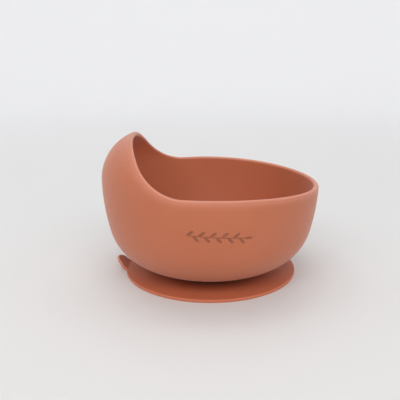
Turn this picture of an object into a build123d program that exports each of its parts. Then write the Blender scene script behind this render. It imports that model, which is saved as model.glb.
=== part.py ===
"""Silicone suction bowl with an inward-curling back wall, on a flexible suction base.

Millimetres, +Z up. The origin is on the table, under the centre of the bowl. The raised
back wall is towards -X and the low front wall towards +X.
"""

from build123d import *
import math
import os

os.makedirs("parts", exist_ok=True)

# ---- bowl: the outer wall is a chain of tangent arcs, from the underside up ----
BOWL_RADIUS = 62.5          # at the widest level
BELLY_HEIGHT = 56.9         # level of the widest circle
WALL = 3.0
SHOULDER_R = 27.0           # arc that curls inward above the widest level
SIDE_R = 117.5              # long arc of the side wall
SIDE_SWEEP = 14.3           # degrees of that arc
CORNER_R = 29.1             # arc that turns from the side to the underside
CORNER_END = 73.1           # degrees below horizontal where the corner arc stops
UNDERSIDE_R = 59.4          # shallow arc that runs out to the flat foot

# ---- the rim, seen from the side: low front, then a sweep up to the back peak ----
RIM_FRONT = (66.0, 53.9)   # where the rim line leaves the bowl at the front
RIM_CROWN = (24.0, 57.15)   # the low stretch is very slightly crowned
RIM_SADDLE = (-15.4, 57.9)  # where the sweep up to the peak begins
SWEEP_R = 26.2
PEAK_LEAN = 63.4            # degrees from horizontal of the last, straight stretch
RIM_ROUND = 1.4             # both edges of the rim are rounded, almost to a full round

# ---- suction base ----
BASE_RADIUS = 51.0
LIP_INNER_R = 46.5
LIP_HEIGHT = 1.8
LIP_ROUND = 0.6
SKIRT_INNER_R = 17.3
SKIRT_THICKNESS = 1.3
CHAMBER_HEIGHT = 2.0        # free height under the hub, which the press travel uses up
HUB_RADIUS = 17.0
NECK_RADIUS = 15.0
NECK_FILLET = 0.8
SPIGOT_RADIUS = 10.0
SPIGOT_HEIGHT = 2.2
SOCKET_CLEARANCE = 0.15     # glue line round and above the spigot

# ---- pull tab ----
TAB_AZIMUTH = 177.3         # degrees about Z from +X
TAB_HINGE_RADIUS = 50.2     # distance of the root line from the bowl's axis
TAB_HINGE_HEIGHT = 1.0
TAB_HALF_WIDTH = 6.8
TAB_LENGTH = 8.7
TAB_THICKNESS = 1.6
TAB_REST_ANGLE = 44.0       # how far the tab stands up at rest
TAB_EDGE_ROUND = 0.55
TAB_CLEARANCE = 0.3


def arc_centres():
    """Centres of the outer wall's shoulder, side, corner and underside arcs, as (R, Z)."""
    side_end = math.radians(SIDE_SWEEP)
    corner_end = math.radians(CORNER_END)
    shoulder = Vector(BOWL_RADIUS - SHOULDER_R, BELLY_HEIGHT)
    side = Vector(BOWL_RADIUS - SIDE_R, BELLY_HEIGHT)
    corner = side + Vector(math.cos(side_end), -math.sin(side_end)) * (SIDE_R - CORNER_R)
    to_corner = Vector(math.cos(corner_end), -math.sin(corner_end))
    underside = corner + to_corner * (CORNER_R - UNDERSIDE_R)
    return shoulder, side, corner, underside


SHOULDER_C, SIDE_C, CORNER_C, UNDERSIDE_C = arc_centres()
UNDERSIDE_Z = UNDERSIDE_C.Y - UNDERSIDE_R
FLOOR_Z = CORNER_C.Y - (CORNER_R - WALL)
AXIS_TOP = 100.0            # above everything, for closing outlines


def revolved(outline):
    """Turn a closed outline of (R, Z) edges about the bowl's axis."""
    return revolve(Plane.XZ * make_face(outline), Axis.Z)


def wall_arcs(inset):
    """The shoulder and side arcs, moved inward by inset, from the top down."""
    shoulder = CenterArc(SHOULDER_C, SHOULDER_R - inset, 0, 90)
    side = CenterArc(SIDE_C, SIDE_R - inset, -SIDE_SWEEP, SIDE_SWEEP)
    return [shoulder, side]


def bowl_outside():
    corner = CenterArc(CORNER_C, CORNER_R, -CORNER_END, CORNER_END - SIDE_SWEEP)
    underside = CenterArc(UNDERSIDE_C, UNDERSIDE_R, -90, 90 - CORNER_END)
    walls = wall_arcs(0)
    top = walls[0] @ 1
    return revolved(
        [*walls, corner, underside]
        + [Polyline(underside @ 0, (0, UNDERSIDE_Z), (0, top.Y), top)]
    )


def bowl_inside():
    """The food space: the corner arc runs all the way down to a flat floor."""
    corner = CenterArc(CORNER_C, CORNER_R - WALL, -90, 90 - SIDE_SWEEP)
    walls = wall_arcs(WALL)
    top = walls[0] @ 1
    return revolved(
        [*walls, corner] + [Polyline(corner @ 0, (0, FLOOR_Z), (0, top.Y), top)]
    )


def above_rim():
    """Everything above the rim line, as one block across the bowl."""
    low = ThreePointArc(RIM_FRONT, RIM_CROWN, RIM_SADDLE)
    heading = math.degrees(math.atan2((low % 1).Y, (low % 1).X)) % 360
    turn = heading - (180 - PEAK_LEAN)
    sweep = JernArc(low @ 1, low % 1, SWEEP_R, -turn)
    lean = (sweep % 1) * ((AXIS_TOP - (sweep @ 1).Y) / (sweep % 1).Y)
    peak = Line(sweep @ 1, sweep @ 1 + lean)
    closing = Polyline(peak @ 1, (RIM_FRONT[0], AXIS_TOP), RIM_FRONT)
    side_view = Plane.XZ * make_face([low, sweep, peak, closing])
    return extrude(side_view, 2 * BOWL_RADIUS, both=True)


def make_bowl():
    walls = bowl_outside() - bowl_inside()
    bowl = walls - above_rim()
    rim = new_edges(walls, combined=bowl)
    bowl = fillet(rim, RIM_ROUND)
    socket = Cylinder(
        SPIGOT_RADIUS + SOCKET_CLEARANCE,
        SPIGOT_HEIGHT + SOCKET_CLEARANCE,
        align=(Align.CENTER, Align.CENTER, Align.MIN),
    )
    return bowl - Pos(0, 0, UNDERSIDE_Z) * socket


def make_hub():
    """Thick centre of the base, with the neck and the spigot that the bowl is bonded to."""
    skirt_top = CHAMBER_HEIGHT + SKIRT_THICKNESS
    flange_top = Line((HUB_RADIUS, skirt_top), (NECK_RADIUS + NECK_FILLET, skirt_top))
    curve = RadiusArc(flange_top @ 1, (NECK_RADIUS, skirt_top + NECK_FILLET), NECK_FILLET)
    outline = Polyline(
        curve @ 1,
        (NECK_RADIUS, UNDERSIDE_Z),
        (SPIGOT_RADIUS, UNDERSIDE_Z),
        (SPIGOT_RADIUS, UNDERSIDE_Z + SPIGOT_HEIGHT),
        (0, UNDERSIDE_Z + SPIGOT_HEIGHT),
        (0, CHAMBER_HEIGHT),
        (HUB_RADIUS, CHAMBER_HEIGHT),
        (HUB_RADIUS, skirt_top),
    )
    return revolved([flange_top, curve, outline])


def make_skirt():
    """Thin membrane, dished so that it encloses a low chamber over the table."""
    inner_top = (SKIRT_INNER_R, CHAMBER_HEIGHT + SKIRT_THICKNESS)
    outer_top = (LIP_INNER_R, LIP_HEIGHT)
    outer_under = (LIP_INNER_R, LIP_HEIGHT - SKIRT_THICKNESS)
    inner_under = (SKIRT_INNER_R, CHAMBER_HEIGHT)
    top = TangentArc(inner_top, outer_top, tangent=(1, 0))
    under = TangentArc(inner_under, outer_under, tangent=(1, 0))
    return revolved([top, under, Line(inner_top, inner_under), Line(outer_top, outer_under)])


def at_tab(shape):
    """Place a shape drawn with the tab's root line on its Y axis and the tip towards +X."""
    return Rot(0, 0, TAB_AZIMUTH) * Pos(TAB_HINGE_RADIUS, 0, TAB_HINGE_HEIGHT) * shape


def make_lip():
    """Thicker outer ring that lies on the table, notched where the pull tab grows out."""
    width = BASE_RADIUS - LIP_INNER_R
    section = Pos(LIP_INNER_R + width / 2, LIP_HEIGHT / 2) * Rectangle(width, LIP_HEIGHT)
    outer_corners = section.vertices().group_by(Axis.X)[-1]
    section = fillet(outer_corners, LIP_ROUND)
    ring = revolve(Plane.XZ * section, Axis.Z)
    half = TAB_HALF_WIDTH + TAB_CLEARANCE
    seat_r = TAB_THICKNESS / 2 + TAB_CLEARANCE
    seat = Rot(90, 0, 0) * Cylinder(seat_r, 2 * half)
    outside = Box(TAB_LENGTH, 2 * half, TAB_LENGTH, align=(Align.MIN, Align.CENTER, Align.CENTER))
    swing = Box(TAB_LENGTH, 2 * half, TAB_LENGTH, align=(Align.MIN, Align.CENTER, Align.MIN))
    return ring - at_tab(seat) - at_tab(outside) - at_tab(Pos(-seat_r, 0, 0) * swing)


def make_tab():
    """Tongue with a rounded root line, standing up at its rest angle."""
    blade = extrude(Ellipse(TAB_LENGTH, TAB_HALF_WIDTH), TAB_THICKNESS / 2, both=True)
    front_half = Box(
        TAB_LENGTH * 2, TAB_HALF_WIDTH * 3, TAB_THICKNESS * 2,
        align=(Align.MIN, Align.CENTER, Align.CENTER),
    )
    blade = blade & front_half
    tip = blade.edges().filter_by(GeomType.ELLIPSE)
    blade = fillet(tip, TAB_EDGE_ROUND)
    barrel = Rot(90, 0, 0) * Cylinder(TAB_THICKNESS / 2, 2 * TAB_HALF_WIDTH - TAB_THICKNESS)
    return at_tab(Rot(0, -TAB_REST_ANGLE, 0) * (blade + barrel))


PARTS = {
    "bowl": make_bowl,
    "suction_hub": make_hub,
    "suction_skirt": make_skirt,
    "sealing_lip": make_lip,
    "pull_tab": make_tab,
}

for node, make in PARTS.items():
    export_step(make(), f"parts/{node}.step")
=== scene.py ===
"""Looks of the silicone suction bowl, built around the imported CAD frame.

Metres, +Z up, in the frame of the CAD model: origin on the table under the bowl's centre,
raised back wall towards -X, mark on the wall that faces -Y.
"""

import math

import bmesh
import bpy
import numpy as np
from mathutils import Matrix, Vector


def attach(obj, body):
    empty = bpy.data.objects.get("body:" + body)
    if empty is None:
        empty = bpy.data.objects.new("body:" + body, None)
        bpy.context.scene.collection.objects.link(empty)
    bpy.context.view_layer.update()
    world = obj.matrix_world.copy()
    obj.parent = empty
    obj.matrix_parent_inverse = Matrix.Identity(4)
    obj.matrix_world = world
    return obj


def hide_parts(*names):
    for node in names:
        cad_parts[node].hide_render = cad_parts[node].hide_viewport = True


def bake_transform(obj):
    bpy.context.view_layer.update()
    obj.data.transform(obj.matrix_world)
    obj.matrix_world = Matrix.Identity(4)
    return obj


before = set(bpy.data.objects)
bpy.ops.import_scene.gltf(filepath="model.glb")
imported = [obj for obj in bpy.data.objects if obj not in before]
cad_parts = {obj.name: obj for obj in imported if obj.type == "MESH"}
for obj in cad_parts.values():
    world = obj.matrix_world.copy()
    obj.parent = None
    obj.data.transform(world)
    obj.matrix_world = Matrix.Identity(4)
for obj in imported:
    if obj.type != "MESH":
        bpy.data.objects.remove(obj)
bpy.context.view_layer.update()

MM = 0.001

# ---- the bowl's section, as in the CAD model: a chain of tangent arcs ----
BOWL_RADIUS = 62.5 * MM
BELLY_HEIGHT = 56.9 * MM
WALL = 3.0 * MM
SHOULDER_R = 27.0 * MM
SIDE_R = 117.5 * MM
SIDE_SWEEP = math.radians(14.3)
CORNER_R = 29.1 * MM
CORNER_END = math.radians(73.1)
UNDERSIDE_R = 59.4 * MM
QUARTER = math.pi / 2

# ---- the rim line, seen from the side ----
RIM_FRONT = np.array([66.0, 53.9]) * MM
RIM_CROWN = np.array([24.0, 57.15]) * MM
RIM_SADDLE = np.array([-15.4, 57.9]) * MM
SWEEP_R = 26.2 * MM
PEAK_LEAN = math.radians(63.4)
RIM_R = WALL / 2
RIM_WEAR_AND_HIGHLIGHT = 0.55             # rubbed look and painted highlight just below the rim on the outside
RIM_WEAR_AND_HIGHLIGHT_FADE = 0.75        # and its share left in each row of the mesh further down

# ---- the suction base ----
BASE_RADIUS = 51.0 * MM
LIP_INNER_R = 46.5 * MM
LIP_HEIGHT = 1.8 * MM
SKIRT_THICKNESS = 1.3 * MM
CHAMBER_HEIGHT = 2.0 * MM
HUB_RADIUS = 17.0 * MM
NECK_RADIUS = 15.0 * MM
SPIGOT_RADIUS = 10.0 * MM
SPIGOT_HEIGHT = 2.2 * MM
TAB_AZIMUTH = math.radians(177.3)
TAB_HINGE_RADIUS = 50.2 * MM
TAB_LENGTH = 8.7 * MM
TAB_HALF_WIDTH = 6.8 * MM
TAB_REST_ANGLE = math.radians(44.0)
TAB_BEND_LENGTH = 1.6 * MM  # the tongue curls up over this length
CURL_INSET = 0.8 * MM       # the curl starts inside the hinge line, so the tongue points at the hinge
CURL_R = TAB_HINGE_RADIUS - CURL_INSET
TAB_TIP_THICKNESS = 1.7 * MM
TAB_FLARE = 0.7 * MM        # how far the disc's edge swells beside the tongue
FLARE_END = 1.4             # in half widths of the tongue
TONGUE_TAPER = 1.5          # powers that shape the tongue's outline
TONGUE_ROUND = 0.42
FLARE_FALL = 2.5
BEND_FULL = 0.8             # the whole bend reaches this many half widths from the middle
TAB_SPREAD = 0.32           # radians either side of the tab that are finely meshed
LIP_EDGE_ROUND = 0.5 * MM
EDGE_POWER = 0.7            # under 1 squares the rounded edge a little
LIP_WEAR_AND_HIGHLIGHT = 0.2              # rubbed look and painted highlight on the lip's edge, where 1 is that of the tab's tip
SEAM = 0.4 * MM             # membrane and lip meet level, this far out from the lip's inner edge
SEAM_EASE = 0.05 * MM       # keeps the smooth shading level up to that line
MEMBRANE_TUCK = 0.8 * MM    # how far the membrane's edge reaches into the lip
CREVICE_R = 36.0 * MM       # painted shade darkens the facing sides of bowl and base inside this radius
CREVICE_EASE = 10.0 * MM    # and darken over this distance
SOCKET_GAP = 0.15 * MM
SOCKET_BEVEL = 0.2 * MM
NECK_FLARE = 0.6 * MM       # the neck's fillet runs this far past the hub
NECK_RISE = 0.8             # share of the way up to the bowl that the fillet takes
NECK_OVERLAP = 0.1 * MM     # the neck is bonded into the bowl's foot


# ======================================================================
# Geometry helpers
# ======================================================================

def grid_faces(rows, columns, start=0):
    """Quads between successive rows of points, each row closed into a ring."""
    faces = []
    for row in range(rows - 1):
        base = start + row * columns
        for column in range(columns):
            after = (column + 1) % columns
            faces.append((base + column, base + after, base + columns + after, base + columns + column))
    return faces


def ring_mesh(name, rows, close_loop=False, layers=()):
    """A smooth mesh from an array of rings, shape (rows, columns, 3).

    With close_loop the last ring joins the first; otherwise a first or last ring that has
    shrunk to one point becomes a single vertex with a fan of triangles. Each of layers is a
    name and an array, shape (rows, columns), of values stored on the points.
    """
    count, columns, _ = rows.shape
    points = rows.reshape(-1, 3)
    faces = grid_faces(count, columns)
    if close_loop:
        last = (count - 1) * columns
        for column in range(columns):
            after = (column + 1) % columns
            faces.append((last + column, last + after, after, column))
    mesh = bpy.data.meshes.new(name)
    mesh.from_pydata(points.tolist(), [], faces)
    for layer_name, values in layers:
        layer = mesh.attributes.new(layer_name, "FLOAT", "POINT")
        layer.data.foreach_set("value", values.astype(np.float32).ravel())
    piece = bpy.data.objects.new(name, mesh)
    bpy.context.scene.collection.objects.link(piece)
    weld(mesh)
    mesh.shade_smooth()
    return piece


def weld(mesh):
    """Merge the points of rings that have shrunk to one place, and turn the faces outward."""
    work = bmesh.new()
    work.from_mesh(mesh)
    bmesh.ops.remove_doubles(work, verts=work.verts, dist=1e-7)
    bmesh.ops.dissolve_degenerate(work, edges=work.edges, dist=1e-8)
    bmesh.ops.recalc_face_normals(work, faces=work.faces)
    work.to_mesh(mesh)
    work.free()


def mesh_points(mesh):
    """The mesh's points as an array, shape (count, 3)."""
    points = np.zeros(len(mesh.vertices) * 3)
    mesh.vertices.foreach_get("co", points)
    return points.reshape(-1, 3)


def smooth_step(x):
    x = np.clip(x, 0.0, 1.0)
    return x * x * (3.0 - 2.0 * x)


# ======================================================================
# Bowl
# ======================================================================

SHOULDER_C = np.array([BOWL_RADIUS - SHOULDER_R, BELLY_HEIGHT])
SIDE_C = np.array([BOWL_RADIUS - SIDE_R, BELLY_HEIGHT])
CORNER_C = SIDE_C + (SIDE_R - CORNER_R) * np.array([math.cos(SIDE_SWEEP), -math.sin(SIDE_SWEEP)])
TO_UNDERSIDE = np.array([math.cos(CORNER_END), -math.sin(CORNER_END)])
UNDERSIDE_C = CORNER_C + (CORNER_R - UNDERSIDE_R) * TO_UNDERSIDE
UNDERSIDE_Z = UNDERSIDE_C[1] - UNDERSIDE_R
FLOOR_Z = CORNER_C[1] - (CORNER_R - WALL)


def wall_point(tilt, inset, inner):
    """(R, Z) on the wall where its outward normal is tilted by tilt above horizontal."""
    tilt = np.asarray(tilt)
    direction = np.stack([np.cos(tilt), np.sin(tilt)], -1)
    corner_end = -QUARTER if inner else -CORNER_END
    shoulder = SHOULDER_C + (SHOULDER_R - inset) * direction
    side = SIDE_C + (SIDE_R - inset) * direction
    corner = CORNER_C + (CORNER_R - inset) * direction
    underside = UNDERSIDE_C + (UNDERSIDE_R - inset) * direction
    low = np.where((tilt < corner_end)[..., None], underside, corner)
    high = np.where((tilt >= 0)[..., None], shoulder, side)
    return np.where((tilt < -SIDE_SWEEP)[..., None], low, high)


def circle_through(a, b, c):
    """Centre and radius of the circle through three points."""
    rows = 2 * np.array([b - a, c - a])
    centre = np.linalg.solve(rows, [b @ b - a @ a, c @ c - a @ a])
    return centre, np.linalg.norm(centre - a)


def rim_line():
    """(X, Z) points along the middle of the wall's rounded top edge, front to peak."""
    centre, radius = circle_through(RIM_FRONT, RIM_CROWN, RIM_SADDLE)
    front, saddle = RIM_FRONT - centre, RIM_SADDLE - centre
    angles = np.linspace(math.atan2(front[1], front[0]), math.atan2(saddle[1], saddle[0]), 200)
    low = centre + (radius - RIM_R) * np.stack([np.cos(angles), np.sin(angles)], -1)
    up = saddle / np.linalg.norm(saddle)
    sweep_centre = RIM_SADDLE + up * SWEEP_R
    first = math.atan2(-up[1], -up[0])
    last = -math.pi + (QUARTER - PEAK_LEAN)
    angles = np.linspace(first, last, 120)
    sweep = sweep_centre + (SWEEP_R + RIM_R) * np.stack([np.cos(angles), np.sin(angles)], -1)
    lean = np.array([-math.cos(PEAK_LEAN), math.sin(PEAK_LEAN)])
    peak = sweep[-1] + np.outer(np.linspace(0, 30 * MM, 40)[1:], lean)
    return np.vstack([low, sweep[1:], peak])


def rim_tilts(azimuths):
    """At each azimuth, the wall tilt where the middle of the wall meets the rim line."""
    line = rim_line()[::-1]
    low = np.full(azimuths.shape, -SIDE_SWEEP)
    high = np.full(azimuths.shape, QUARTER)
    for _ in range(50):
        middle = (low + high) / 2
        spot = wall_point(middle, RIM_R, inner=False)
        above = spot[:, 1] > np.interp(spot[:, 0] * np.cos(azimuths), line[:, 0], line[:, 1])
        high = np.where(above, middle, high)
        low = np.where(above, low, middle)
    return (low + high) / 2


def turned(section, azimuths):
    """Turn (R, Z) points, one per azimuth, to X, Y, Z."""
    return np.stack(
        [section[:, 0] * np.cos(azimuths), section[:, 0] * np.sin(azimuths), section[:, 1]], -1
    )


# The mark: a small sprig, a thin stem with leaves on both sides, sunk into the wall.
MARK_AZIMUTH = math.radians(-90.0)
MARK_HEIGHT = 39.3 * MM
MARK_LENGTH = 37.0 * MM
MARK_TILT = math.radians(-3.6)
MARK_STROKE = 0.6 * MM
MARK_DEPTH = 0.42 * MM
MARK_SHOULDER = 0.24 * MM
MARK_BAND = 4.4 * MM        # half height of the finely meshed band round the mark
MARK_MARGIN = 1.12          # and its length, as a share of the mark's
MARK_SHADE = 0.55           # the mark's sunk strokes carry this share of the crevice's painted shade
LEAF_COUNT = 10
LEAF_LENGTH = 4.1 * MM
LEAF_WIDTH = 1.45 * MM
LEAF_LEAN = math.radians(42.0)


def turn_from(azimuths, origin):
    """Signed angle from origin to each azimuth, within half a turn either way."""
    return (azimuths - origin + math.pi) % (2 * math.pi) - math.pi


def mark_mask(along, up):
    """1 inside the mark's stem and leaves and 0 outside, with a soft shoulder between."""
    x = along * math.cos(MARK_TILT) + up * math.sin(MARK_TILT)
    y = up * math.cos(MARK_TILT) - along * math.sin(MARK_TILT)
    stem_end = MARK_LENGTH / 2 - LEAF_LENGTH
    distance = np.hypot(y, np.maximum(np.abs(x) - stem_end, 0)) - MARK_STROKE / 2
    pitch = 2 * stem_end / LEAF_COUNT
    for number in range(LEAF_COUNT + 1):
        lean = LEAF_LEAN * (0 if number == LEAF_COUNT else (-1) ** number)
        root = -stem_end + number * pitch
        middle = root + LEAF_LENGTH / 2 * math.cos(lean)
        height = LEAF_LENGTH / 2 * math.sin(lean)
        ahead = (x - middle) * math.cos(lean) + (y - height) * math.sin(lean)
        aside = (y - height) * math.cos(lean) - (x - middle) * math.sin(lean)
        leaf = np.hypot(2 * ahead / LEAF_LENGTH, 2 * aside / LEAF_WIDTH) - 1
        distance = np.minimum(distance, leaf * LEAF_WIDTH / 2)
    return smooth_step(0.5 - distance / MARK_SHOULDER)


def tilt_at(length):
    """Wall tilt at a length along the outside, measured up from the widest circle."""
    return np.where(length > 0, length / SHOULDER_R, length / SIDE_R)


def length_at(tilt):
    """The reverse of tilt_at."""
    return np.where(tilt > 0, tilt * SHOULDER_R, tilt * SIDE_R)


def column_azimuths():
    """Azimuths of the bowl's mesh columns, close together where the mark is."""
    reach = MARK_MARGIN * MARK_LENGTH / 2 / BOWL_RADIUS
    fine = MARK_AZIMUTH + np.linspace(-reach, reach, 181)
    rest = MARK_AZIMUTH + np.linspace(reach, 2 * math.pi - reach, 201)[1:-1]
    return np.concatenate([fine, rest])


def outside_tilts(top):
    """Rows of wall tilts from the rim down to the flat foot, close together at the mark."""
    band = [math.asin((MARK_HEIGHT + side * MARK_BAND - BELLY_HEIGHT) / SIDE_R) for side in (1, -1)]
    band_top = band[0] * SIDE_R
    rows = [
        tilt_at(length_at(top) * (1 - share) + band_top * share) for share in np.linspace(0, 1, 28)
    ]
    stretches = [
        (band[0], band[1], 45),
        (band[1], -SIDE_SWEEP, 9),
        (-SIDE_SWEEP, -CORNER_END, 20),
        (-CORNER_END, -QUARTER, 9),
    ]
    for first, last, count in stretches:
        rows += [np.full(top.shape, tilt) for tilt in np.linspace(first, last, count)[1:]]
    return rows


def inside_rings(azimuths, top):
    """Flat floor, then up the wall to the rim."""
    rings = [level_ring(azimuths, radius, FLOOR_Z) for radius in np.linspace(0, CORNER_C[0], 9)[:-1]]
    for tilt in np.linspace(-QUARTER, -SIDE_SWEEP, 26):
        rings.append(turned(wall_point(np.full(top.shape, tilt), WALL, inner=True), azimuths))
    lowest = -SIDE_SWEEP * SIDE_R
    for share in np.linspace(0, 1, 40)[1:]:
        tilts = tilt_at(lowest + (length_at(top) - lowest) * share)
        rings.append(turned(wall_point(tilts, WALL, inner=True), azimuths))
    return rings


def rim_rings(azimuths, top):
    """A half circle swept round the top of the wall, from inside to outside."""
    outer = turned(wall_point(top, 0.0, inner=False), azimuths)
    centre = turned(wall_point(top, RIM_R, inner=False), azimuths)
    normal = (outer - centre) / RIM_R
    along = np.roll(centre, -1, 0) - np.roll(centre, 1, 0)
    up = np.cross(normal, along)
    up *= (np.sign(up[:, 2]) / np.linalg.norm(up, axis=1))[:, None]
    return [
        centre + RIM_R * (normal * math.cos(angle) + up * math.sin(angle))
        for angle in np.linspace(math.pi, 0, 13)[1:-1]
    ]


def outside_rings(azimuths, top):
    """The outside of the wall with the mark pressed in, and the mark's mask on each ring."""
    along = turn_from(azimuths, MARK_AZIMUTH)
    rings, masks = [], []
    for tilts in outside_tilts(top):
        section = wall_point(tilts, 0.0, inner=False)
        outward = turned(np.stack([np.cos(tilts), np.sin(tilts)], -1), azimuths)
        mask = mark_mask(along * section[:, 0], section[:, 1] - MARK_HEIGHT)
        mask *= np.abs(along) < QUARTER / 2
        rings.append(turned(section, azimuths) - outward * (MARK_DEPTH * mask)[:, None])
        masks.append(mask)
    return rings, masks


def foot_rings(azimuths):
    """Flat foot with the socket that the suction base's spigot fills."""
    socket_r, socket_top = SPIGOT_RADIUS + SOCKET_GAP, UNDERSIDE_Z + SPIGOT_HEIGHT + SOCKET_GAP
    steps = [
        (socket_r + SOCKET_BEVEL, UNDERSIDE_Z),
        (socket_r, UNDERSIDE_Z + SOCKET_BEVEL),
        (socket_r, socket_top - SOCKET_BEVEL),
        (socket_r - SOCKET_BEVEL, socket_top),
        (0.0, socket_top),
    ]
    return [level_ring(azimuths, radius, height) for radius, height in steps]


def level_ring(azimuths, radius, height):
    """A level circle of points about the axis."""
    return turned(np.tile([radius, height], (len(azimuths), 1)), azimuths)


def crevice_shade(radius):
    """Painted shade: 1 deep in the crevice between bowl and base, falling to 0 towards its mouth."""
    return smooth_step((CREVICE_R - radius) / CREVICE_EASE)


def make_bowl():
    """The whole bowl as one skin, with its painted shade and its rubbed edges with painted highlight
    stored on the points.
    """
    azimuths = column_azimuths()
    top = rim_tilts(azimuths)
    inside, rim, foot = inside_rings(azimuths, top), rim_rings(azimuths, top), foot_rings(azimuths)
    outside, masks = outside_rings(azimuths, top)
    blank = np.zeros(len(azimuths))
    # Painted shade: the bowl's underside near the base, the mark's sunk strokes, and the socket in the
    # foot in full.
    low = [crevice_shade(np.hypot(ring[:, 0], ring[:, 1])) for ring in outside]
    marked = list(np.maximum(MARK_SHADE * np.array(masks), low))
    shade = [blank] * (len(inside) + len(rim)) + marked + [blank + 1] * len(foot)
    # The rim's top is painted lighter, a painted highlight with some rubbing; the outside below it less
    # so, row by row.
    crest = [blank + math.sin(math.pi * share) for share in np.linspace(0, 1, len(rim) + 2)[1:-1]]
    fade = [blank + RIM_WEAR_AND_HIGHLIGHT * RIM_WEAR_AND_HIGHLIGHT_FADE ** row for row in range(len(outside))]
    wear_and_highlight = [blank] * len(inside) + crest + fade + [blank] * len(foot)
    layers = [("shade", np.array(shade)), ("wear_and_highlight", np.array(wear_and_highlight))]
    return ring_mesh("bowl_shell", np.array(inside + rim + outside + foot), layers=layers)


# ======================================================================
# Suction base
# ======================================================================

def skirt_height(radius, inner, outer):
    """Height of the dished skirt, which leaves the hub level and reaches the lip level."""
    share = smooth_step((LIP_INNER_R - radius) / (LIP_INNER_R - HUB_RADIUS))
    return outer + (inner - outer) * share


def skirt_top(radius):
    return skirt_height(radius, CHAMBER_HEIGHT + SKIRT_THICKNESS, LIP_HEIGHT)


def skirt_under(radius):
    return skirt_height(radius, CHAMBER_HEIGHT, LIP_HEIGHT - SKIRT_THICKNESS)


def make_membrane():
    """Skirt, hub, neck and spigot: one skin from the lip in to the bowl's foot."""
    tucked = LIP_INNER_R + MEMBRANE_TUCK
    foot_r = HUB_RADIUS + NECK_FLARE
    under = [(radius, skirt_under(radius)) for radius in np.linspace(0, LIP_INNER_R, 60)]
    edge = [(tucked, LIP_HEIGHT - 1.0 * MM), (tucked, LIP_HEIGHT - 0.4 * MM)]
    seam_r = LIP_INNER_R + SEAM
    radii = [seam_r, seam_r - SEAM_EASE, *np.linspace(LIP_INNER_R, foot_r, 44)]
    top = [(radius, skirt_top(radius)) for radius in radii]
    foot = top[-1][1]
    neck = []
    for angle in np.linspace(0, QUARTER, 10)[1:]:
        radius = foot_r - (foot_r - NECK_RADIUS) * math.sin(angle)
        neck.append((radius, foot + (UNDERSIDE_Z - foot) * NECK_RISE * (1 - math.cos(angle))))
    spigot_top = UNDERSIDE_Z + SPIGOT_HEIGHT
    seat = UNDERSIDE_Z + NECK_OVERLAP
    spigot = [(NECK_RADIUS, seat), (SPIGOT_RADIUS, seat), (SPIGOT_RADIUS, spigot_top), (0.0, spigot_top)]
    azimuths = np.linspace(0, 2 * math.pi, 300, endpoint=False)
    section = under + edge + top + neck + spigot
    rings = [level_ring(azimuths, radius, height) for radius, height in section]
    # Painted shade in the crevice, on the membrane's upper side only.
    shade = crevice_shade(np.array(section)[:, 0])
    shade[:len(under)] = 0.0
    shade = np.repeat(shade[:, None], len(azimuths), axis=1)
    return ring_mesh("suction_membrane", np.array(rings), layers=[("shade", shade)])


def tab_shape(azimuths):
    """Length of the tongue and share of its upward bend at each azimuth."""
    across = np.abs(turn_from(azimuths, TAB_AZIMUTH)) * BASE_RADIUS / TAB_HALF_WIDTH
    edge = BASE_RADIUS - CURL_R
    outline = np.clip(1 - across ** TONGUE_TAPER, 0, 1) ** TONGUE_ROUND
    tongue = (TAB_LENGTH + CURL_INSET - edge) * outline
    flare = TAB_FLARE * np.clip((FLARE_END - across) / (FLARE_END - 1), 0, 1) ** FLARE_FALL
    bend = 1 - smooth_step((across - BEND_FULL) / (FLARE_END - BEND_FULL))
    return edge + np.maximum(tongue, flare * (across < FLARE_END)), bend


def tongue_line(lengths, bend):
    """(R, Z, angle) at lengths along the tongue's middle, which curls up from the lip."""
    angle = TAB_REST_ANGLE * bend
    curl = np.minimum(lengths, TAB_BEND_LENGTH)
    turned_by = angle * curl / TAB_BEND_LENGTH
    safe = np.where(turned_by < 1e-6, 1.0, turned_by)
    run = np.where(turned_by < 1e-6, curl, curl * np.sin(turned_by) / safe)
    rise = np.where(turned_by < 1e-6, 0.0, curl * (1 - np.cos(turned_by)) / safe)
    straight = lengths - curl
    radius = CURL_R + run + straight * np.cos(turned_by)
    height = LIP_HEIGHT / 2 + rise + straight * np.sin(turned_by)
    return radius, height, turned_by


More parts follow.
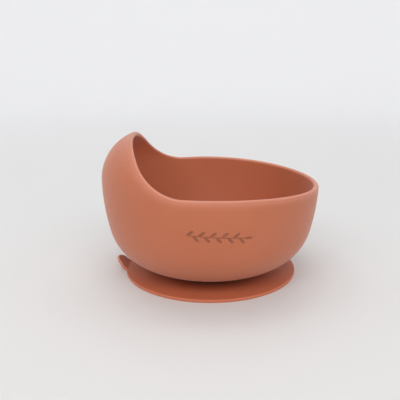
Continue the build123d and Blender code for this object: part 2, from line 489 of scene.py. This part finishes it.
def make_lip():
    """Sealing ring whose edge runs out, in one skin, into the upturned pull tab."""
    near = TAB_AZIMUTH + np.linspace(-TAB_SPREAD, TAB_SPREAD, 141)
    far = TAB_AZIMUTH + np.linspace(TAB_SPREAD, 2 * math.pi - TAB_SPREAD, 241)[1:-1]
    azimuths = np.concatenate([near, far])
    reach, bend = tab_shape(azimuths)
    long_share = (reach - reach.min()) / (reach.max() - reach.min())
    half_end = (LIP_HEIGHT - (LIP_HEIGHT - TAB_TIP_THICKNESS) * long_share) / 2
    straight = reach - LIP_EDGE_ROUND

    blank = np.zeros(azimuths.shape)
    rings, wear_and_highlight = [], []

    def side(sign, shares):
        for share in shares:
            radius, height, angle = tongue_line(straight * share, bend)
            half = LIP_HEIGHT / 2 + (half_end - LIP_HEIGHT / 2) * share
            section = np.stack(
                [radius - sign * half * np.sin(angle), height + sign * half * np.cos(angle)], -1
            )
            rings.append(turned(section, azimuths))

    seam_r = LIP_INNER_R + SEAM
    rings.append(level_ring(azimuths, LIP_INNER_R, LIP_HEIGHT - SEAM))
    rings.append(level_ring(azimuths, seam_r, LIP_HEIGHT))
    for radius in np.linspace(seam_r + SEAM_EASE, CURL_R, 8)[:-1]:
        rings.append(level_ring(azimuths, radius, LIP_HEIGHT))
    side(1, np.linspace(0, 1, 22))
    before_edge = len(rings)
    for turn in np.linspace(QUARTER, -QUARTER, 13)[1:-1]:
        radius, height, angle = tongue_line(straight, bend)
        out = LIP_EDGE_ROUND * abs(math.cos(turn)) ** EDGE_POWER
        up = half_end * math.copysign(abs(math.sin(turn)) ** EDGE_POWER, turn)
        section = np.stack(
            [
                radius + out * np.cos(angle) - up * np.sin(angle),
                height + out * np.sin(angle) + up * np.cos(angle),
            ],
            -1,
        )
        rings.append(turned(section, azimuths))
        # The outermost edge of lip and tab carries a painted highlight and a rubbed look, strongest at
        # the tab's tip.
        outermost = abs(turn) < QUARTER / 2
        wear_and_highlight.append(LIP_WEAR_AND_HIGHLIGHT + (1 - LIP_WEAR_AND_HIGHLIGHT) * long_share if outermost else blank)
    side(-1, np.linspace(1, 0, 22))
    for radius in np.linspace(CURL_R, LIP_INNER_R, 8)[1:]:
        rings.append(level_ring(azimuths, radius, 0.0))
    wear_and_highlight = [blank] * before_edge + wear_and_highlight + [blank] * (len(rings) - before_edge - len(wear_and_highlight))
    rings, wear_and_highlight = np.array(rings), np.array(wear_and_highlight)
    return ring_mesh("sealing_lip_and_tab", rings, close_loop=True, layers=[("wear_and_highlight", wear_and_highlight)])


# ======================================================================
# Materials
# ======================================================================

BOWL_TONE = (0.497, 0.142, 0.063)
BOWL_DEEP = (0.468, 0.131, 0.056)
# The base is the same silicone as the bowl, painted lighter: painted light on the disc.
BASE_TONE_PAINTED_LIGHTER = (0.55, 0.148, 0.066)
BASE_DEEP_PAINTED_LIGHTER = (0.52, 0.137, 0.058)
BOWL_SHEEN = 0.25
BASE_SHEEN = 0.06
SHEEN_TINT = (1.0, 0.82, 0.75)
SPECK_GAIN = 1.07           # the speckles' tone, as a share of the main tone
WEAR_AND_HIGHLIGHT_GAIN = 1.1             # tone of the rubbed, painted-highlight edges: a share of the main tone, plus a lift
WEAR_AND_HIGHLIGHT_LIFT = 0.1
DARK_GAIN = 0.3             # the tone of the painted shade in the crevice and the mark, as a share of the deep tone
CLOUD_SCALE = 26.0          # noise scales, in cells per metre
WAVE_SCALE = 90.0
GLOSS_SCALE = 300.0
SPECK_SCALE = 1400.0
GRAIN_SCALE = 2600.0
WAVE_HEIGHT = 0.4 * MM
GRAIN_HEIGHT = 0.05 * MM


def silicone(name, tone, deep_tone, sheen):
    """Matte moulded silicone: fine grain, cloudy tone, lighter edges with a rubbed look and painted
    highlight, painted shade in the crevice and the mark, and a soft sheen.
    """
    material = bpy.data.materials.new(name)
    material.use_nodes = True
    tree = material.node_tree
    nodes, links = tree.nodes, tree.links
    shader = nodes["Principled BSDF"]
    where = nodes.new("ShaderNodeTexCoord").outputs["Object"]

    def noise(scale, detail, roughness=0.5):
        node = nodes.new("ShaderNodeTexNoise")
        node.inputs["Scale"].default_value = scale
        node.inputs["Detail"].default_value = detail
        node.inputs["Roughness"].default_value = roughness
        links.new(where, node.inputs["Vector"])
        return node.outputs["Fac"]

    def layer(layer_name):
        node = nodes.new("ShaderNodeAttribute")
        node.attribute_name = layer_name
        return node.outputs["Fac"]

    def ramp(value, low, high, dark, light):
        node = nodes.new("ShaderNodeMapRange")
        node.inputs["From Min"].default_value = low
        node.inputs["From Max"].default_value = high
        node.inputs["To Min"].default_value = dark
        node.inputs["To Max"].default_value = light
        links.new(value, node.inputs["Value"])
        return node.outputs["Result"]

    def mix(factor, a, b):
        node = nodes.new("ShaderNodeMix")
        node.data_type = "RGBA"
        links.new(factor, node.inputs["Factor"])
        for socket, colour in (("A", a), ("B", b)):
            target = [i for i in node.inputs if i.name == socket and i.type == "RGBA"][0]
            if isinstance(colour, tuple):
                target.default_value = (*colour, 1.0)
            else:
                links.new(colour, target)
        return [o for o in node.outputs if o.type == "RGBA"][0]

    def bump(height, distance, strength):
        node = nodes.new("ShaderNodeBump")
        node.inputs["Strength"].default_value = strength
        node.inputs["Distance"].default_value = distance
        links.new(height, node.inputs["Height"])
        return node

    fine_tone = tuple(min(1.0, c * SPECK_GAIN) for c in tone)
    wear_and_highlight_tone = tuple(min(1.0, c * WEAR_AND_HIGHLIGHT_GAIN + WEAR_AND_HIGHLIGHT_LIFT) for c in tone)
    dark_tone = tuple(c * DARK_GAIN for c in deep_tone)
    clouds = noise(CLOUD_SCALE, detail=4.0, roughness=0.55)
    cloudy = mix(ramp(clouds, 0.3, 0.7, 0.0, 1.0), deep_tone, tone)
    specks = noise(SPECK_SCALE, detail=2.0)
    speckled = mix(ramp(specks, 0.55, 0.75, 0.0, 0.35), cloudy, fine_tone)
    # lighter edges: rubbed look and painted highlight
    with_wear_and_highlight = mix(ramp(layer("wear_and_highlight"), 0.05, 0.9, 0.0, 0.85), speckled, wear_and_highlight_tone)
    # painted shade, from the shade layer, laid over everything else
    shaded = mix(ramp(layer("shade"), 0.0, 1.0, 0.0, 0.95), with_wear_and_highlight, dark_tone)
    links.new(shaded, shader.inputs["Base Color"])

    gloss = noise(GLOSS_SCALE, detail=3.0)
    links.new(ramp(gloss, 0.25, 0.75, 0.5, 0.62), shader.inputs["Roughness"])

    grain = bump(noise(GRAIN_SCALE, detail=2.0), GRAIN_HEIGHT, strength=0.35)
    waves = bump(noise(WAVE_SCALE, detail=2.0), WAVE_HEIGHT, strength=0.12)
    links.new(waves.outputs["Normal"], grain.inputs["Normal"])
    links.new(grain.outputs["Normal"], shader.inputs["Normal"])

    shader.inputs["IOR"].default_value = 1.5
    shader.inputs["Specular IOR Level"].default_value = 0.5
    shader.inputs["Sheen Weight"].default_value = sheen
    shader.inputs["Sheen Roughness"].default_value = 0.45
    shader.inputs["Sheen Tint"].default_value = (*SHEEN_TINT, 1.0)
    return material


def give(piece, material):
    """Put a material on a piece."""
    piece.data.materials.clear()
    piece.data.materials.append(material)


# ======================================================================
# Stage, light and camera
# ======================================================================

SWEEP_START = 0.8           # radius where the floor starts to curve up
SWEEP_RADIUS = 0.4
BACKDROP_HEIGHT = 0.8
FLOOR_DROP = 0.05 * MM      # keeps the floor just clear of the lip's underside
# Painted shadow: the floor is painted darker near the bowl.
FLOOR_PAINTED_SHADE = (0.75, 0.745, 0.735)
FLOOR_LIGHT = (0.835, 0.835, 0.84)
FLOOR_NEAR = 0.2            # the floor turns from its painted shade to its light tone
FLOOR_FAR = 1.1             # between these two distances from the bowl
FLOOR_MOTTLE = 0.1
FLOOR_NOISE_SCALE = 3.0
WORLD_COLOUR = (0.95, 0.97, 1.0)
WORLD_STRENGTH = 0.44
WARM_WHITE = (1.0, 0.99, 0.98)
COOL_WHITE = (0.97, 0.98, 1.0)
CAMERA_AZIMUTH = math.radians(-2.56)
CAMERA_ELEVATION = math.radians(16.16)
CAMERA_DISTANCE = 317.6 * MM
CAMERA_SHIFT = (-0.0261, 0.0346)
AIM = Vector((0, 0, 33.95 * MM))
LENS = 47.81
SENSOR_WIDTH = 36.0


def make_sweep():
    """Pale round floor that curves up into a backdrop all round, far from the bowl."""
    wall_r = SWEEP_START + SWEEP_RADIUS
    section = [(radius, 0.0) for radius in np.linspace(0, SWEEP_START, 6)]
    for angle in np.linspace(0, QUARTER, 24)[1:]:
        radius = SWEEP_START + SWEEP_RADIUS * math.sin(angle)
        section.append((radius, SWEEP_RADIUS * (1 - math.cos(angle))))
    section.append((wall_r, BACKDROP_HEIGHT))
    azimuths = np.linspace(0, 2 * math.pi, 128, endpoint=False)
    rings = [level_ring(azimuths, radius, height - FLOOR_DROP) for radius, height in section]
    sweep = ring_mesh("backdrop", np.array(rings))
    sweep.data.materials.append(pale_floor())
    return sweep


def pale_floor():
    """Off-white, with a faint mottle, and painted shade that darkens it near the bowl."""
    material = bpy.data.materials.new("pale_floor")
    material.use_nodes = True
    nodes, links = material.node_tree.nodes, material.node_tree.links
    shader = nodes["Principled BSDF"]
    where = nodes.new("ShaderNodeTexCoord").outputs["Object"]
    noise = nodes.new("ShaderNodeTexNoise")
    noise.inputs["Scale"].default_value = FLOOR_NOISE_SCALE
    links.new(where, noise.inputs["Vector"])
    distance = nodes.new("ShaderNodeVectorMath")
    distance.operation = "LENGTH"
    links.new(where, distance.inputs[0])
    depth = nodes.new("ShaderNodeMapRange")
    depth.interpolation_type = "SMOOTHSTEP"
    depth.inputs["From Min"].default_value = FLOOR_NEAR
    depth.inputs["From Max"].default_value = FLOOR_FAR
    links.new(distance.outputs["Value"], depth.inputs["Value"])
    mottle = nodes.new("ShaderNodeMath")
    mottle.operation = "MULTIPLY_ADD"
    mottle.inputs[1].default_value = FLOOR_MOTTLE
    links.new(noise.outputs["Fac"], mottle.inputs[0])
    links.new(depth.outputs["Result"], mottle.inputs[2])
    tone = nodes.new("ShaderNodeValToRGB")
    tone.color_ramp.elements[0].color = (*FLOOR_PAINTED_SHADE, 1.0)
    tone.color_ramp.elements[1].color = (*FLOOR_LIGHT, 1.0)
    links.new(mottle.outputs["Value"], tone.inputs["Fac"])
    links.new(tone.outputs["Color"], shader.inputs["Base Color"])
    shader.inputs["Roughness"].default_value = 0.55
    shader.inputs["Specular IOR Level"].default_value = 0.25
    return material


def add_softbox(name, place, target, size, power, colour):
    """A rectangular area light at place, turned towards target; power in watts."""
    data = bpy.data.lights.new(name, "AREA")
    data.shape = "RECTANGLE"
    data.size, data.size_y = size
    data.energy = power
    data.color = colour
    light = bpy.data.objects.new(name, data)
    light.location = place
    light.rotation_mode = "QUATERNION"
    light.rotation_quaternion = (Vector(target) - Vector(place)).to_track_quat("-Z", "Y")
    bpy.context.scene.collection.objects.link(light)


def add_camera():
    back = Vector(
        (
            math.sin(CAMERA_AZIMUTH) * math.cos(CAMERA_ELEVATION),
            -math.cos(CAMERA_AZIMUTH) * math.cos(CAMERA_ELEVATION),
            math.sin(CAMERA_ELEVATION),
        )
    )
    data = bpy.data.cameras.new("camera")
    data.lens = LENS
    data.sensor_width = SENSOR_WIDTH
    data.shift_x, data.shift_y = CAMERA_SHIFT
    data.clip_start, data.clip_end = 0.01, 20.0
    camera = bpy.data.objects.new("camera", data)
    camera.location = AIM + back * CAMERA_DISTANCE
    camera.rotation_mode = "QUATERNION"
    camera.rotation_quaternion = (-back).to_track_quat("-Z", "Y")
    bpy.context.scene.collection.objects.link(camera)
    bpy.context.scene.camera = camera


def light_the_world():
    world = bpy.data.worlds.new("studio")
    world.use_nodes = True
    background = world.node_tree.nodes["Background"]
    background.inputs["Color"].default_value = (*WORLD_COLOUR, 1.0)
    background.inputs["Strength"].default_value = WORLD_STRENGTH
    scene = bpy.context.scene
    scene.world = world
    scene.view_settings.view_transform = "Standard"


bowl_silicone = silicone("silicone_bowl", BOWL_TONE, BOWL_DEEP, BOWL_SHEEN)
base_silicone = silicone("silicone_base", BASE_TONE_PAINTED_LIGHTER, BASE_DEEP_PAINTED_LIGHTER, BASE_SHEEN)

bowl = make_bowl()
give(bowl, bowl_silicone)
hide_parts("bowl")
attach(bowl, "bowl")

membrane = make_membrane()
give(membrane, base_silicone)
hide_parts("suction_skirt", "suction_hub")
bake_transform(membrane)
# X and Y of the membrane's points. The real membrane flexes all round the axis.
x, y, _ = mesh_points(membrane.data).T

lip = make_lip()
give(lip, base_silicone)
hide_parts("sealing_lip", "pull_tab")
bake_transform(lip)

sweep = make_sweep()
add_softbox("overhead", (-0.1, 0.45, 1.2), (0, 0.2, 0.0), (1.4, 0.9), 3.5, WARM_WHITE)
add_softbox("backdrop_light", (0, 0.35, 1.5), (0, 1.2, 0.55), (1.6, 0.5), 3.6, COOL_WHITE)
add_softbox("front_top", (-0.08, -0.95, 0.93), (0, 0, 0.02), (2.0, 0.45), 10.7, WARM_WHITE)
light_the_world()
add_camera()
